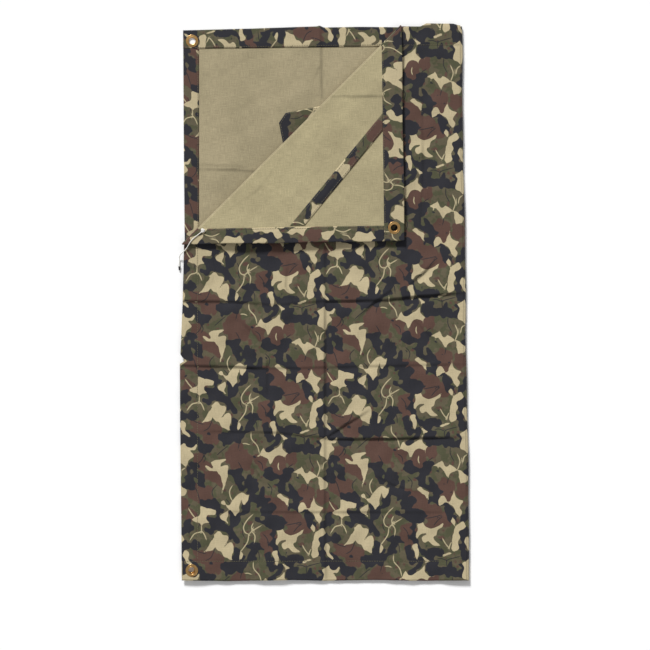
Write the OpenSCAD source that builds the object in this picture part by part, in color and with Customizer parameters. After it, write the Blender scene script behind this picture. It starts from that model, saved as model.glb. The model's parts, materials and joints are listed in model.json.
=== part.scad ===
// Camouflage field blind: one square of cloth, printed on one side, folded in half like a book.
// The upper left corner of its front half is turned back along a diagonal.
// The back half lies on the ground with its plain side up, and the fold runs along the right edge.
// Origin: centre of the folded cloth's footprint, on the ground. +Y is the long way, +Z is up.

/* [Cloth] */
// Width of the cloth when it is folded in half
fold_w = 504; // [460:4:560]
// How far the folded edge leans outwards from the top to the bottom
fold_lean = 14; // [0:1:16]
// Height of the cloth
cloth_h = 984; // [900:4:1100]
// Thickness of one layer of cloth
cloth_t = 0.8; // [0.6:0.1:1.0]
// Air between the hems of the two halves
half_gap = 4.4; // [4.4:0.2:8]
// Air between the front half and the corner that lies on it
flap_gap = 2.4; // [2.0:0.1:2.8]

/* [Hems] */
// Width of the hem along the top edge
top_hem_w = 35; // [30:1:40]
// Width of the hem along the left edge
side_hem_w = 28; // [24:1:32]
// Width of the hem along the bottom edge
bottom_hem_w = 36; // [30:1:40]
// Distance of a seam from its hem's inner edge
seam_in = 2; // [1.5:0.5:3]
// Width of a sewing thread
thread_w = 0.6; // [0.4:0.1:0.8]

/* [Turned corner] */
// How far along the top edge the diagonal fold starts, from the middle of the cloth
fold_start_x = 136; // [120:2:150]
// How far the corner's own edges lie out of square
corner_lean = 5; // [0:1:8]

/* [Eyelets] */
// Radius of an eyelet's hole
eyelet_r = 6; // [5.5:0.5:6.5]
// Radius of an eyelet's flange
flange_r = 11; // [10:0.5:11.5]
// Height of an eyelet's rolled flange
flange_h = 1.0; // [0.8:0.1:1.2]

/* [Patch and tape] */
// Size of the patch: along its top edge, then down its side
patch_size = [112, 84]; // [80:1:130]
// Turn of the patch on the cloth
patch_turn = 11.5; // [0:0.5:20]
// Length that is cut off each of the patch's corners
patch_cut = 15; // [8:1:20]
// Width of the tape across the turned corner
tape_w = 20; // [16:1:24]

/* [Tie cord] */
// Diameter of the cord
cord_d = 1.6; // [1.2:0.1:1.8]
// Radius of the knot
knot_r = 4.2; // [3.6:0.1:4.4]
// Height of the knot
knot_h = 4.0; // [3:0.1:4.0]
// Radius of the tip
tip_r = 1.9; // [1.5:0.1:2.1]

/* [Hidden] */
$fn = 64;

khaki = [0.65, 0.60, 0.44];
olive = [0.33, 0.32, 0.24];
brown = [0.36, 0.26, 0.22];
brass = [0.80, 0.64, 0.38];
white = [0.88, 0.87, 0.83];
black = [0.08, 0.08, 0.09];
sand = [0.58, 0.52, 0.40];

// Heights of the layers above the ground
back_hem_z = cloth_t;
back_top_z = 2 * cloth_t;
front_hem_z = back_top_z + half_gap;
front_z = front_hem_z + cloth_t;
front_top_z = front_z + cloth_t;
flap_z = front_top_z + flap_gap;
flap_hem_z = flap_z + cloth_t;
flap_top_z = flap_hem_z + cloth_t;

// The two fold axes, each midway between the layers that it joins
book_axis_z = front_top_z / 2;
corner_axis_z = (front_z + flap_hem_z) / 2;
joint_gap = 0.15;

// Edges of the folded cloth
left_x = -fold_w / 2;
fold_x = fold_w / 2 - book_axis_z;
top_y = cloth_h / 2;
bottom_y = -cloth_h / 2;
fold_turn = atan2(fold_lean, cloth_h);
function panel_right_x(y) = fold_x - joint_gap - fold_lean * y / cloth_h;

// The diagonal fold runs at 45 degrees, where y = x + diagonal_c
diagonal_c = top_y - fold_start_x;
function diagonal_x(y) = y - diagonal_c;
function diagonal_y(x) = x + diagonal_c;
diagonal_gap = joint_gap * sqrt(2);
spine_trim = 3;

// The turned corner's three corners: the two ends of its fold, and its tip
flap_low_in = 4;
flap_low = [left_x + flap_low_in, diagonal_y(left_x + flap_low_in)];
flap_high = [fold_start_x, top_y];
flap_tip = [diagonal_x(top_y), diagonal_y(left_x)] + corner_lean * [1, 1.4];

// A seam stops this far from its hem's end, or from the diagonal fold
seam_end = 2;
seam_diagonal_end = 8;
top_seam_y = top_y - top_hem_w + seam_in;
bottom_seam_y = bottom_y + bottom_hem_w - seam_in;
left_seam_x = left_x + side_hem_w - seam_in;

// Eyelets, each near a corner of the cloth
back_top_at = [left_x + 16, top_y - 25];
back_bottom_at = [left_x + 14, bottom_y + 20];
front_bottom_at = [left_x + 16, bottom_y + 18];
flap_eyelet_at = [flap_tip.x - 18, flap_tip.y + 23];
barrel_wall = 0.6;
barrel_r = eyelet_r + barrel_wall;
barrel_clear = 0.05;
hole_r = barrel_r + barrel_clear;
washer_h = 0.5;
proud_washer_h = 0.7;
recess_r = flange_r + 0.1;
seam_clear_r = flange_r + 0.4;

// The patch's upper left corner, before it is cut, and the tape's centre line
patch_corner = [-84.6, 335.5];
tape_high = [101, 319.5];
tape_low = [-41, 147];
tape_long = norm(tape_high - tape_low);
tape_seam_in = 3;

thread_h = 0.25;
over = 1;

// The cord's route: from inside the knot, over the hem and the left edge, and down to the ground
cord_route = [
    [-217.5, 127.5, 13.4], [-221, 124.5, 13.0], [-225.5, 121, 12.7], [-230, 117.5, 12.6],
    [-234.5, 113.5, 12.6], [-238.5, 108.5, 12.6], [-242, 103, 11.4], [-245, 98, 9.8],
    [-249, 93.5, 9.0], [-253.2, 90, 8.6], [-256.4, 86.5, 7.2], [-257.9, 83.2, 4.4],
    [-258.3, 79, 2.3], [-258.5, 74.5, 1.8], [-258.6, 70, 1.9], [-258.6, 66, 2.0]
];
cord_sides = 8;
// A direction that no stretch of the route runs along
ring_reference = [0.6, 0.8, 0];
knot_at = [-216, 129];
tip_l = 7;
tip_taper = 0.7;

// ---------- shared shapes ----------

// A flat layer of cloth cut to the 2D children, from z up, one layer thick
module layer(z) {
    translate([0, 0, z]) linear_extrude(cloth_t) children();
}

module rect(low, high) {
    translate(low) square(high - low);
}

// The cloth between two heights, from its left edge to the fold
module band(from_y, to_y) {
    polygon([
        [left_x, from_y], [panel_right_x(from_y), from_y],
        [panel_right_x(to_y), to_y], [left_x, to_y]
    ]);
}

// Everything on the inner side of the diagonal fold, shifted in by a margin
module inside_diagonal(margin = 0) {
    reach = 2 * cloth_h;
    polygon([[-reach, -reach + diagonal_c - margin], [reach, reach + diagonal_c - margin], [reach, -reach]]);
}

module eyelet_holes(places, r = hole_r) {
    for (p = places) translate(p) circle(r);
}

// A quarter of a circle as points, from one angle to the other
function arc_points(centre, r, from, to) =
    [for (i = [0:4]) let (a = from + (to - from) * i / 4) centre + r * [cos(a), sin(a)]];

// A ring with a rounded outer face, lying on z = 0 and growing up
module rounded_ring(inner, outer, h) {
    rim = min(0.45, h / 2);
    rotate_extrude() polygon(concat(
        [[inner, 0], [outer, 0]],
        arc_points([outer - rim, h - rim], rim, 0, 90),
        arc_points([inner + rim, h - rim], rim, 90, 180)
    ));
}

// A grommet's male half: a rolled flange on top of a barrel that reaches down through the cloth
module eyelet(at, flange_z, barrel_end_z) {
    up = flange_z > barrel_end_z;
    translate([at.x, at.y, flange_z]) mirror([0, 0, up ? 0 : 1]) {
        difference() {
            union() {
                rounded_ring(eyelet_r, flange_r, flange_h);
                translate([0, 0, -abs(flange_z - barrel_end_z)])
                    cylinder(r = barrel_r, h = abs(flange_z - barrel_end_z) + flange_h / 2);
            }
            translate([0, 0, -over - abs(flange_z - barrel_end_z)])
                cylinder(r = eyelet_r, h = abs(flange_z - barrel_end_z) + flange_h + 2 * over);
        }
    }
}

// A grommet's washer, which the barrel is rolled over
module washer(at, z, h, up = true) {
    translate([at.x, at.y, z]) mirror([0, 0, up ? 0 : 1]) rounded_ring(hole_r, flange_r, h);
}

// A straight row of sewing thread lying on z, open around the eyelets at the given places
module seam(from, to, z, clear = [], up = true) {
    long = norm(to - from);
    turn = atan2(to.y - from.y, to.x - from.x);
    difference() {
        translate([from.x, from.y, up ? z : z - thread_h]) rotate(turn)
            translate([0, -thread_w / 2, 0]) cube([long, thread_w, thread_h]);
        for (p = clear) translate([p.x, p.y, z - over]) cylinder(r = seam_clear_r, h = 2 * over);
    }
}

// Half of a rolled fold along Y, bulging towards +X, with its axis at the origin
module rolled_fold(inner, outer, long) {
    rotate([90, 0, 0]) translate([0, 0, -long / 2]) linear_extrude(long) difference() {
        circle(outer);
        circle(inner);
        translate([-2 * outer, -2 * outer]) square([2 * outer, 4 * outer]);
    }
}

// ---------- back half: lies on the ground, plain side up ----------

module back_panel() color(khaki) {
    difference() {
        layer(0) difference() {
            band(bottom_y, top_y);
            eyelet_holes([back_top_at, back_bottom_at]);
        }
        for (p = [back_top_at, back_bottom_at])
            translate([p.x, p.y, -over]) cylinder(r = recess_r, h = over + washer_h);
    }
}

module back_top_hem() color(olive) layer(back_hem_z) difference() {
    band(top_y - top_hem_w, top_y);
    eyelet_holes([back_top_at]);
}

module back_left_hem() color(olive) layer(back_hem_z)
    rect([left_x, bottom_y + bottom_hem_w], [left_x + side_hem_w, top_y - top_hem_w]);

module back_bottom_hem() color(olive) layer(back_hem_z) difference() {
    band(bottom_y, bottom_y + bottom_hem_w);
    eyelet_holes([back_bottom_at]);
}

// Moves children from the patch's own corner onto the cloth
module on_patch() {
    translate(patch_corner) rotate(patch_turn) translate([0, -patch_size.y]) children();
}

module patch_outline(in) {
    w = patch_size.x;
    d = patch_size.y;
    c = patch_cut + in * (2 - sqrt(2));
    polygon([
        [in, c], [c, in], [w - c, in], [w - in, c],
        [w - in, d - c], [w - c, d - in], [c, d - in], [in, d - c]
    ]);
}

module back_patch() color(brown) layer(back_hem_z) on_patch() patch_outline(0);

module back_top_seam() color(sand)
    seam([left_x + seam_end, top_seam_y], [panel_right_x(top_seam_y) - seam_end, top_seam_y],
        back_top_z, [back_top_at]);

module back_left_seam() color(sand)
    seam([left_seam_x, bottom_y + bottom_hem_w + seam_end],
        [left_seam_x, top_y - top_hem_w - seam_end], back_top_z);

module back_bottom_seam() color(sand)
    seam([left_x + seam_end, bottom_seam_y], [panel_right_x(bottom_seam_y) - seam_end, bottom_seam_y],
        back_top_z, [back_bottom_at]);

module back_patch_seam() color(sand) translate([0, 0, back_top_z]) linear_extrude(thread_h)
    on_patch() difference() {
        patch_outline(seam_in);
        patch_outline(seam_in + thread_w);
    }

module back_top_eyelet() color(brass) eyelet(back_top_at, back_top_z, 0);
module back_top_washer() color(brass) washer(back_top_at, washer_h, washer_h, up = false);
module back_bottom_eyelet() color(brass) eyelet(back_bottom_at, back_top_z, 0);
module back_bottom_washer() color(brass) washer(back_bottom_at, washer_h, washer_h, up = false);

// The cloth rolls from the back half to the front half, with both hems inside the roll
module book_spine() color(olive) translate([fold_x, 0, book_axis_z]) rotate(fold_turn) {
    rolled_fold(book_axis_z - cloth_t, book_axis_z, cloth_h);
    for (span = [[bottom_y, bottom_hem_w], [top_y - top_hem_w, top_hem_w]])
        translate([0, span[0] + span[1] / 2, 0])
            rolled_fold(book_axis_z - 2 * cloth_t, book_axis_z - cloth_t, span[1]);
}

// ---------- front half: lies on the back half, printed side up ----------

module front_panel() color(olive) layer(front_z) difference() {
    intersection() {
        band(bottom_y, top_y);
        inside_diagonal(diagonal_gap);
    }
    eyelet_holes([front_bottom_at]);
}

module front_top_hem() color(olive) layer(front_hem_z) intersection() {
    band(top_y - top_hem_w, top_y);
    inside_diagonal(diagonal_gap);
}

module front_left_hem() color(olive) layer(front_hem_z) intersection() {
    rect([left_x, bottom_y + bottom_hem_w], [left_x + side_hem_w, top_y - top_hem_w]);
    inside_diagonal(diagonal_gap);
}

module front_bottom_hem() color(olive) layer(front_hem_z) difference() {
    band(bottom_y, bottom_y + bottom_hem_w);
    eyelet_holes([front_bottom_at]);
}

// Rows of thread on the front half show on its printed side
module front_top_seam() color(sand)
    seam([diagonal_x(top_seam_y) + seam_diagonal_end, top_seam_y],
        [panel_right_x(top_seam_y) - seam_end, top_seam_y], front_top_z);

module front_left_seam() color(sand)
    seam([left_seam_x, bottom_y + bottom_hem_w + seam_end],
        [left_seam_x, diagonal_y(left_seam_x) - seam_diagonal_end], front_top_z);

module front_bottom_seam() color(sand)
    seam([left_x + seam_end, bottom_seam_y], [panel_right_x(bottom_seam_y) - seam_end, bottom_seam_y],
        front_top_z, [front_bottom_at]);

// This grommet's flange is on the plain side, so it hangs under the hem
module front_bottom_eyelet() color(brass)
    eyelet(front_bottom_at, front_hem_z, front_top_z + proud_washer_h);

module front_bottom_washer() color(brass) washer(front_bottom_at, front_top_z, proud_washer_h);

// The cloth rolls over the diagonal, with the hems' ends outside the roll
module corner_spine() color(khaki) {
    long = norm(flap_high - [left_x, left_x + diagonal_c]) - 2 * spine_trim;
    inner = flap_gap / 2;
    middle = (flap_high + [left_x, left_x + diagonal_c]) / 2;
    translate([middle.x, middle.y, corner_axis_z]) rotate(135) rolled_fold(inner, inner + cloth_t, long);
}

// ---------- turned corner: lies on the front half, plain side up ----------

module flap_outline(margin = diagonal_gap) {
    intersection() {
        polygon([flap_high, flap_low, flap_tip]);
        inside_diagonal(margin);
    }
}

// The strip along the turned corner's right edge, which was the top hem
module flap_top_strip() {
    intersection() {
        flap_outline();
        polygon([
            flap_high + [-top_hem_w, 0], flap_high + [over, 0],
            flap_tip + [over, -over], flap_tip + [-top_hem_w, -over]
        ]);
    }
}

// The strip along its lower edge, which was the left hem
module flap_side_strip() {
    intersection() {
        flap_outline();
        polygon([
            flap_low + [-over, -over], flap_tip + [0, -over],
            flap_tip + [0, side_hem_w], flap_low + [-over, side_hem_w]
        ]);
    }
}

module flap_panel() color(khaki) layer(flap_z) difference() {
    flap_outline();
    eyelet_holes([flap_eyelet_at]);
}

module flap_top_hem() color(olive) layer(flap_hem_z) difference() {
    flap_top_strip();
    eyelet_holes([flap_eyelet_at]);
}

module flap_side_hem() color(olive) layer(flap_hem_z) difference() {
    flap_side_strip();
    flap_top_strip();
    eyelet_holes([flap_eyelet_at]);
}

// The row beside the top hem's inner edge ends short of the fold
module flap_top_seam() color(sand)
    seam(flap_tip + [seam_in - top_hem_w, seam_end],
        flap_high + [seam_in - top_hem_w, seam_in - top_hem_w - seam_diagonal_end],
        flap_top_z, [flap_eyelet_at]);

// The row beside the side hem's inner edge starts past the knot
module flap_side_seam() color(sand)
    seam([knot_at.x + 2 * knot_r, flap_low.y + side_hem_w - seam_in],
        flap_tip + [-top_hem_w - seam_end, side_hem_w - seam_in], flap_top_z, [flap_eyelet_at]);

// Turns children so that +X runs up the tape from its lower end
module along_tape() {
    run = tape_high - tape_low;
    translate(tape_low) rotate(atan2(run.y, run.x)) children();
}

module flap_tape() color(brown) layer(flap_hem_z) difference() {
    along_tape() translate([-tape_w, -tape_w / 2]) square([tape_long + 2 * tape_w, tape_w]);
    flap_top_strip();
    flap_side_strip();
}

module flap_tape_seams() color(sand) for (side = [-1, 1])
    translate([0, 0, flap_top_z]) linear_extrude(thread_h) difference() {
        along_tape() translate([-tape_w, side * (tape_w / 2 - tape_seam_in) - thread_w / 2])
            square([tape_long + 2 * tape_w, thread_w]);
        flap_top_strip();
        flap_side_strip();
    }

module flap_eyelet() color(brass) eyelet(flap_eyelet_at, flap_top_z, flap_z - proud_washer_h);

module flap_washer() color(brass) washer(flap_eyelet_at, flap_z, proud_washer_h, up = false);

// ---------- tie cord ----------

// The knot is a low round barrel on the hem
module cord_knot() color(white) {
    half = knot_h / 2;
    translate([knot_at.x, knot_at.y, flap_top_z + half]) rotate_extrude() polygon([
        for (i = [0:10]) let (a = -90 + 18 * i) [i % 10 == 0 ? 0 : knot_r * pow(cos(a), 0.6), half * sin(a)]
    ]);
}

// Direction of the route at point i
function route_way(i) =
    let (d = cord_route[min(i + 1, len(cord_route) - 1)] - cord_route[max(i - 1, 0)]) d / norm(d);

// Ring of points around the route at point i
function cord_ring(i) =
    let (
        way = route_way(i),
        raw = cross(way, ring_reference),
        side = raw / norm(raw),
        up = cross(side, way)
    )
    [for (k = [0:cord_sides - 1])
        let (a = 360 * k / cord_sides) cord_route[i] + cord_d / 2 * (side * cos(a) + up * sin(a))];

module tie_cord() color(white) {
    rings = len(cord_route);
    points = [for (i = [0:rings - 1]) each cord_ring(i)];
    walls = [
        for (i = [0:rings - 2], k = [0:cord_sides - 1])
            let (m = (k + 1) % cord_sides)
            [i * cord_sides + k, i * cord_sides + m, (i + 1) * cord_sides + m, (i + 1) * cord_sides + k]
    ];
    first = [[for (k = [cord_sides - 1:-1:0]) k]];
    last = [[for (k = [0:cord_sides - 1]) (rings - 1) * cord_sides + k]];
    polyhedron(points, concat(walls, first, last));
}

// The tip is crimped on the cord's end and lies on the ground
module cord_tip() color(black) {
    last = cord_route[len(cord_route) - 1];
    translate(last) rotate([90, 0, 0]) cylinder(r1 = tip_r, r2 = tip_r * tip_taper, h = tip_l);
}

back_panel();
back_top_hem();
back_left_hem();
back_bottom_hem();
back_patch();
back_top_seam();
back_left_seam();
back_bottom_seam();
back_patch_seam();
back_top_eyelet();
back_top_washer();
back_bottom_eyelet();
back_bottom_washer();
book_spine();
front_panel();
front_top_hem();
front_left_hem();
front_bottom_hem();
front_top_seam();
front_left_seam();
front_bottom_seam();
front_bottom_eyelet();
front_bottom_washer();
corner_spine();
flap_panel();
flap_top_hem();
flap_side_hem();
flap_top_seam();
flap_side_seam();
flap_tape();
flap_tape_seams();
flap_eyelet();
flap_washer();
cord_knot();
tie_cord();
cord_tip();
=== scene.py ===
import json
import math

import bpy
import numpy as np
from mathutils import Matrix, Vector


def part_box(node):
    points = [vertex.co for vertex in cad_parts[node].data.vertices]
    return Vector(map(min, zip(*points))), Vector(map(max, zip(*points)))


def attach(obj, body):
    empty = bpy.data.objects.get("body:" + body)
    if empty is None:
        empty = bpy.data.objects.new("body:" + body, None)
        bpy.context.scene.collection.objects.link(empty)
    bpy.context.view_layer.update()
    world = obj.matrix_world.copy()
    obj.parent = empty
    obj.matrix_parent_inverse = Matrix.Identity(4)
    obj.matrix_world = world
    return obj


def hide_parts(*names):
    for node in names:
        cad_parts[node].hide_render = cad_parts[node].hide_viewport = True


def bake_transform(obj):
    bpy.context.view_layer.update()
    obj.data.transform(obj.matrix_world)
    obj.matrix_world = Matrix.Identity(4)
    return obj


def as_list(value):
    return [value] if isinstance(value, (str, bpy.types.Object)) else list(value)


# Looks of the folded field blind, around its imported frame. Lengths are in millimetres until a
# mesh is made. The cloth is worked out on its flat pattern, where s runs right and t runs up,
# as on the front half, and the print is a function of the pattern.
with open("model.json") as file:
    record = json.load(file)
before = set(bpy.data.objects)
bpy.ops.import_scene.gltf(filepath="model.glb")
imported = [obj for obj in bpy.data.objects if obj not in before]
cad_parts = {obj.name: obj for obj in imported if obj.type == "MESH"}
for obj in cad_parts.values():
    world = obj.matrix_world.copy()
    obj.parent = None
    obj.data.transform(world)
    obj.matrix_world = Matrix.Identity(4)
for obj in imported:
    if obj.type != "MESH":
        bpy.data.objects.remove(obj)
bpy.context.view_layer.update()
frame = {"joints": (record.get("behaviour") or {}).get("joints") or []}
MM = 0.001


# ---------- sizes and places, from the frame ----------

def low(node):
    return np.array(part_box(node)[0]) / MM


def high(node):
    return np.array(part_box(node)[1]) / MM


def middle(node):
    return (low(node) + high(node)) / 2


def joint(name):
    found = next(j for j in frame["joints"] if j["name"] == name)
    return np.array(found["pos_m"]) / MM, np.array(found["axis"])


LEFT, BOTTOM, FLOOR = low("back_panel")
TOP = high("back_panel")[1]
CLOTH = high("back_panel")[2] - FLOOR
TOP_HEM = high("back_top_hem")[1] - low("back_top_hem")[1]
SIDE_HEM = high("back_left_hem")[0] - low("back_left_hem")[0]
BOTTOM_HEM = high("back_bottom_hem")[1] - low("back_bottom_hem")[1]
BOOK_AT, BOOK_AXIS = joint("book_fold")
CORNER_AT, _ = joint("corner_fold")

# The diagonal fold runs along t = s + DIAGONAL, from the left edge up to the top edge
DIAGONAL = CORNER_AT[1] - CORNER_AT[0]
FOLD_START = TOP - DIAGONAL
FOLD_END = LEFT + DIAGONAL
CORNER_LEG = TOP - FOLD_END
# The turned corner's tip lies this far from where a true fold would put it
TIP_LEAN = np.array([5.0, 7.0])

# Each layer's level is the plane between its cloth and its hems; its hems lie above or below it
LEVEL = {
    "back": high("back_panel")[2],
    "front": low("front_panel")[2],
    "flap": high("flap_panel")[2],
}
HEM_SIDE = {"back": 1, "front": -1, "flap": 1}
BODY = {"back": "back_half", "front": "front_half", "flap": "corner_flap"}

EYELETS = ["back_top", "back_bottom", "front_bottom", "flap"]
EYELETS_AT = {
    layer: [middle(place + "_eyelet") for place in EYELETS if place.startswith(layer)]
    for layer in BODY
}
FLANGE_R = (high("flap_eyelet") - low("flap_eyelet"))[0] / 2
BORE_R = 6.0
BARREL_R = BORE_R + 0.6
KNOT_AT = middle("cord_knot")
FOLD_INSET = 1.3


def fold_x(y):
    """Where the cloth starts to bend round the book fold: just inside the joint's axis, with the
    slight waver of a fold pressed by hand."""
    axis = BOOK_AT[0] + (y - BOOK_AT[1]) * BOOK_AXIS[0] / BOOK_AXIS[1]
    return axis - FOLD_INSET + 0.7 * np.sin(y / 61) + 0.4 * np.sin(y / 23 + 1)


# ---------- camera, light and floor ----------

def place_camera():
    """Looks straight down. The object's middle lies a little above the picture's middle."""
    view_width = 1157
    view_middle = (0.4, -38.3)
    lens, sensor = 85, 36
    camera = bpy.data.objects.new("camera", bpy.data.cameras.new("camera"))
    camera.data.lens = lens
    camera.data.sensor_width = sensor
    height = view_width * lens / sensor
    camera.location = (view_middle[0] * MM, view_middle[1] * MM, height * MM)
    bpy.context.scene.collection.objects.link(camera)
    bpy.context.scene.camera = camera


def soft_sun(name, strength, direction, elevation, spread):
    """A broad far light from a compass direction, with +Y as north. Angles are in degrees."""
    light = bpy.data.lights.new(name, "SUN")
    light.energy = strength
    light.angle = math.radians(spread)
    lamp = bpy.data.objects.new(name, light)
    lamp.rotation_euler = (math.radians(elevation - 90), 0, math.radians(-direction))
    bpy.context.scene.collection.objects.link(lamp)


def light_studio():
    scene = bpy.context.scene
    scene.view_settings.view_transform = "Standard"
    world = bpy.data.worlds.new("studio")
    scene.world = world
    world.use_nodes = True
    background = world.node_tree.nodes["Background"]
    background.inputs["Color"].default_value = (1.0, 1.0, 1.0, 1)
    background.inputs["Strength"].default_value = 0.34
    soft_sun("key", strength=4.1, direction=-22, elevation=30, spread=12)
    soft_sun("fill", strength=0.3, direction=140, elevation=45, spread=40)


# ---------- node helpers ----------

def srgb(red, green, blue):
    """A colour read as 0 to 255 display values, as the linear values that shaders take."""
    shares = [c / 255 for c in (red, green, blue)]
    return [c / 12.92 if c < 0.04045 else ((c + 0.055) / 1.055) ** 2.4 for c in shares] + [1]


def add(tree, kind, inputs=None, **settings):
    """Adds a shader node. inputs maps its sockets to values or to other nodes' outputs."""
    made = tree.nodes.new("ShaderNode" + kind)
    for key, value in settings.items():
        setattr(made, key, value)
    for key, value in (inputs or {}).items():
        if isinstance(value, bpy.types.NodeSocket):
            tree.links.new(value, made.inputs[key])
        else:
            made.inputs[key].default_value = value
    return made.outputs


def calc(tree, operation, a, b=0.0):
    return add(tree, "Math", {0: a, 1: b}, operation=operation)[0]


def ramp(tree, value, start, end):
    """0 below start, 1 above end, smooth in between."""
    inputs = {"Value": value, "From Min": start, "From Max": end}
    return add(tree, "MapRange", inputs, interpolation_type="SMOOTHSTEP")[0]


def mix(tree, share, a, b):
    return add(tree, "Mix", {0: share, 6: a, 7: b}, data_type="RGBA")[2]


def noise(tree, place, scale, detail=2.0, roughness=0.5):
    inputs = {"Vector": place, "Scale": scale, "Detail": detail, "Roughness": roughness}
    return add(tree, "TexNoise", inputs)[0]


def stretched(tree, place, scale):
    return add(tree, "VectorMath", {0: place, 1: scale}, operation="MULTIPLY")[0]


def new_material(name):
    material = bpy.data.materials.new(name)
    material.use_nodes = True
    tree = material.node_tree
    return material, tree, tree.nodes["Principled BSDF"]


def finish_surface(tree, shader, colour, height, distance, roughness):
    tree.links.new(colour, shader.inputs["Base Color"])
    bump = add(tree, "Bump", {"Height": height, "Strength": 1.0, "Distance": distance})
    tree.links.new(bump[0], shader.inputs["Normal"])
    shader.inputs["Roughness"].default_value = roughness


# ---------- cloth materials ----------

def attribute(tree, name):
    return add(tree, "Attribute", attribute_name=name)[1]


def weave(tree, cloth):
    """Bump height and brightness of plain weave: crossing threads, thick and thin in places."""
    pitch = 0.85
    turns = stretched(tree, cloth, [math.pi / pitch] * 3)
    s, t, _ = add(tree, "SeparateXYZ", {0: turns})
    checks = calc(tree, "MULTIPLY", calc(tree, "SINE", s), calc(tree, "SINE", t))
    along_s = noise(tree, stretched(tree, cloth, (0.06, 1.1, 1)), 1.0)
    along_t = noise(tree, stretched(tree, cloth, (1.1, 0.06, 1)), 1.0)
    tone = calc(tree, "ADD", calc(tree, "ADD", along_s, along_t), noise(tree, cloth, 0.55, 3.0, 0.7))
    return calc(tree, "ADD", calc(tree, "MULTIPLY", checks, 0.35), tone), tone


def toned(tree, colour, tone, spread):
    """The colour, darker and lighter along the threads. tone is about 1.5 on average."""
    value = calc(tree, "ADD", calc(tree, "MULTIPLY", tone, spread), 1 - 1.5 * spread)
    return add(tree, "HueSaturation", {"Value": value, "Color": colour})[0]


def painted_crease_shade(tree, colour):
    """The colour, darker along the creases: painted shade where their shadow falls."""
    # The crease attribute is painted shade, 1 where it is darkest
    crease_shade, _, _ = add(tree, "SeparateXYZ", {0: attribute(tree, "crease_shade")})
    value = calc(tree, "SUBTRACT", 1.0, calc(tree, "MULTIPLY", crease_shade, 0.75))
    return add(tree, "HueSaturation", {"Value": value, "Color": colour})[0]


def print_mask(tree, field, wobble, soft):
    """1 inside a printed shape. The field is the distance in from the shape's edge."""
    return ramp(tree, calc(tree, "ADD", field, wobble), -soft, soft)


def line_mask(tree, name):
    """1 on the thin drawn lines, from the side, width and nearness of the closest line."""
    side, width, near = add(tree, "SeparateXYZ", {0: attribute(tree, name)})
    inside = calc(tree, "SUBTRACT", width, calc(tree, "ABSOLUTE", side))
    drawn = ramp(tree, inside, -0.25, 0.25)
    return calc(tree, "MULTIPLY", drawn, calc(tree, "LESS_THAN", near, 2.8))


def cloth_material(name, paint, thread_tone, roughness, gloss):
    """One side of the cloth. paint makes its colour, before the threads tone it and painted shade darkens
    it along the creases.
    """
    material, tree, shader = new_material(name)
    cloth = attribute(tree, "cloth")
    height, tone = weave(tree, cloth)
    colour = painted_crease_shade(tree, toned(tree, paint(tree, cloth), tone, thread_tone))
    finish_surface(tree, shader, colour, height, 0.12 * MM, roughness)
    shader.inputs["Sheen Weight"].default_value = 0.12
    shader.inputs["Specular IOR Level"].default_value = gloss
    return material


def print_colour(tree, cloth):
    """Olive ground, with brown, dark, veins, tan and twigs printed over it in turn."""
    wobble = calc(tree, "SUBTRACT", noise(tree, cloth, 0.7), 0.5)
    dark, tan, brown = add(tree, "SeparateXYZ", {0: attribute(tree, "camo")})
    broad = ramp(tree, noise(tree, cloth, 0.06, 2.0), 0.47, 0.54)
    colour = mix(tree, broad, srgb(90, 83, 64), srgb(76, 76, 54))
    for mask, ink in (
        (print_mask(tree, brown, wobble, 1.3), srgb(86, 62, 53)),
        (print_mask(tree, dark, wobble, 0.5), srgb(37, 37, 43)),
        (line_mask(tree, "vein"), srgb(40, 39, 42)),
        (print_mask(tree, tan, wobble, 0.4), srgb(184, 170, 136)),
        (line_mask(tree, "twig"), srgb(176, 164, 130)),
    ):
        colour = mix(tree, mask, colour, ink)
    return colour


def plain_material(name, dark, light):
    """The unprinted side, a little uneven in colour."""
    def paint(tree, cloth):
        broad = ramp(tree, noise(tree, cloth, 0.012, 3.0), 0.35, 0.65)
        return mix(tree, broad, dark, light)

    return cloth_material(name, paint, thread_tone=0.6, roughness=0.85, gloss=0.2)


def fibre_material(name, dark, light, twist, roughness):
    """Twisted yarn: fine ridges, darker in the grooves between them as painted shade, with a little random
    fuzz in its colour.
    """
    material, tree, shader = new_material(name)
    place = add(tree, "TexCoord")["Object"]
    waves = {"Vector": place, "Scale": twist, "Distortion": 2.0}
    ridges = add(tree, "TexWave", waves, bands_direction="DIAGONAL")
    fuzz = noise(tree, place, 3 * twist, 3.0)
    # The colour follows the ridges: painted shade in the grooves, flecked by random fuzz
    colour = mix(tree, calc(tree, "MULTIPLY", ridges[1], fuzz), dark, light)
    finish_surface(tree, shader, colour, ridges[1], 0.1 * MM, roughness)
    return material


def brass_material():
    """Stamped brass with fine scratches, dulled in patches."""
    material, tree, shader = new_material("brass")
    place = add(tree, "TexCoord")["Object"]
    patches = ramp(tree, noise(tree, place, 260, 4.0), 0.35, 0.7)
    scratches = noise(tree, stretched(tree, place, (1.0, 0.15, 1.0)), 4200, 2.0)
    colour = mix(tree, patches, srgb(226, 184, 122), srgb(196, 150, 92))
    finish_surface(tree, shader, colour, scratches, 0.02 * MM, 0.3)
    rough = add(tree, "MapRange", {"Value": patches, "To Min": 0.24, "To Max": 0.42})[0]
    tree.links.new(rough, shader.inputs["Roughness"])
    shader.inputs["Metallic"].default_value = 1.0
    return material


def tip_material():
    material, tree, shader = new_material("dark_tip")
    place = add(tree, "TexCoord")["Object"]
    grain = noise(tree, place, 1500, 3.0)
    colour = mix(tree, grain, srgb(22, 22, 24), srgb(48, 46, 46))
    finish_surface(tree, shader, colour, grain, 0.05 * MM, 0.55)
    return material


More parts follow.
